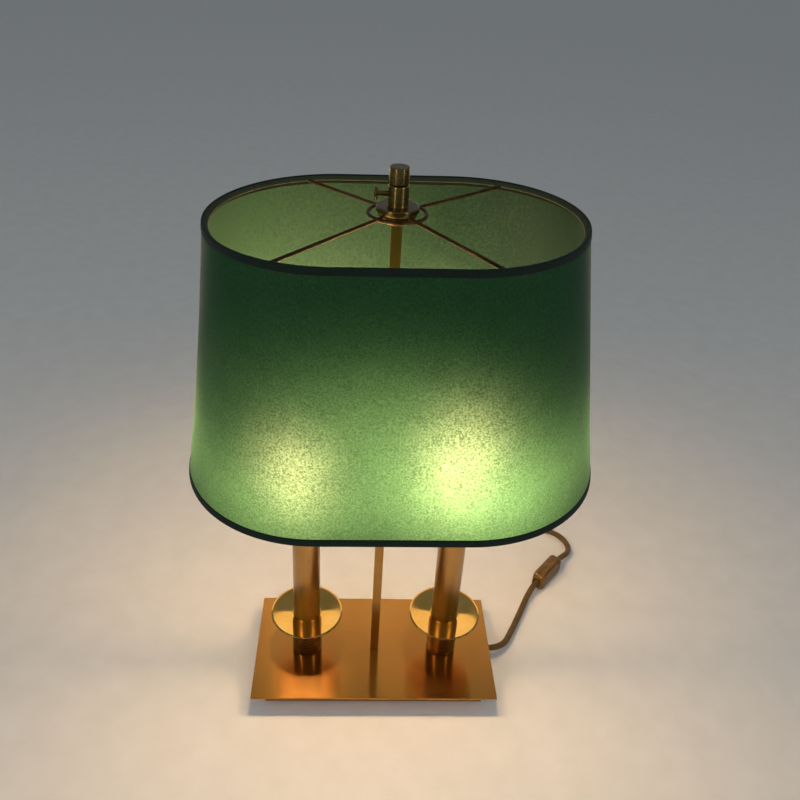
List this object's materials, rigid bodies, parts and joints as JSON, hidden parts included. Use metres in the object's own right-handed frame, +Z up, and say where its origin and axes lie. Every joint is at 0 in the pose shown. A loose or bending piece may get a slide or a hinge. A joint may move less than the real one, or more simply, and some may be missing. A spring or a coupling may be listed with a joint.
{
  "type": "bouillotte table lamp",
  "caption": "Brass table lamp with candle tubes and drip dishes on a flat base, a square stem and an oval green shade that slides on it; cord with an inline switch.",
  "frame": {"origin": "centre of the felt's underside, under the middle of the base", "axes": "+Z up along the stem, +X along the base's long side towards the cord, azimuth 0 looks along +Y"},
  "size_m": [0.4152, 0.413, 0.521],
  "materials": {
    "satin_brass": "satin, brushed",
    "mirror_brass": "polished",
    "aged_brass": "aged satin",
    "bronzed_wire": "bronzed",
    "plain_steel": "zinc plated",
    "cast_weight": "raw",
    "green_felt": "felt",
    "cream_plastic": "matte",
    "black_plastic": "matte",
    "opal_glass": "opal",
    "brown_cord": "satin",
    "brown_case": "satin gloss",
    "green_paper": "matte parchment, translucent",
    "dark_tape": "woven tape"
  },
  "bodies": {
    "base": {"base_plate": "satin_brass", "base_frame": "satin_brass", "weight_plate": "cast_weight", "felt_pad": "green_felt", "base_screws": "plain_steel", "stem_bar": "satin_brass", "stem_screw": "plain_steel", "stem_washer": "plain_steel", "knob": "aged_brass", "foot_left": "satin_brass", "foot_right": "satin_brass", "dish_left": "mirror_brass", "dish_right": "mirror_brass", "candle_tube_left": "satin_brass", "candle_tube_right": "satin_brass", "rod_left": "plain_steel", "rod_right": "plain_steel", "rod_washers": "plain_steel", "rod_nuts": "plain_steel", "holder_left": "black_plastic", "holder_right": "black_plastic", "bulb_cap_left": "plain_steel", "bulb_cap_right": "plain_steel", "bulb_glass_left": "opal_glass", "bulb_glass_right": "opal_glass", "wire_left": "cream_plastic", "wire_right": "cream_plastic", "terminal_block": "cream_plastic", "terminal_screws": "plain_steel", "cord_clamp": "cream_plastic", "clamp_screws": "plain_steel", "strain_relief": "brown_case", "mains_tail": "brown_cord", "cord_lead": "brown_cord", "switch_front": "brown_case", "switch_back": "brown_case", "switch_screws": "plain_steel", "cord_run": "brown_cord", "cord_coil": "brown_cord", "cord_tie": "black_plastic", "cord_end": "brown_cord", "plug_body": "brown_case", "plug_pins": "plain_steel"},
    "shade_carrier": {"collar": "aged_brass", "ring_nut": "aged_brass", "spider": "bronzed_wire", "lower_wire": "bronzed_wire", "shade": "green_paper", "top_binding": "dark_tape", "bottom_binding": "dark_tape"},
    "thumb_screw": {"thumb_screw": "aged_brass"},
    "rocker": {"switch_rocker": "brown_case"}
  },
  "joints": [
    {"name": "shade_height", "type": "slide", "parent": "base", "child": "shade_carrier", "axis": [0, 0, 1], "range_m": [-0.24, 0]},
    {"name": "thumb_turn", "type": "hinge", "parent": "shade_carrier", "child": "thumb_screw", "pos_m": [0, 0, 0.5012], "axis": [1, 0, 0], "range_deg": [-360, 0]},
    {"name": "rocker_tilt", "type": "hinge", "parent": "base", "child": "rocker", "pos_m": [0.2041, 0.1226, 0.0115], "axis": [0, 0, 1], "range_deg": [-16, 0]}
  ]
}
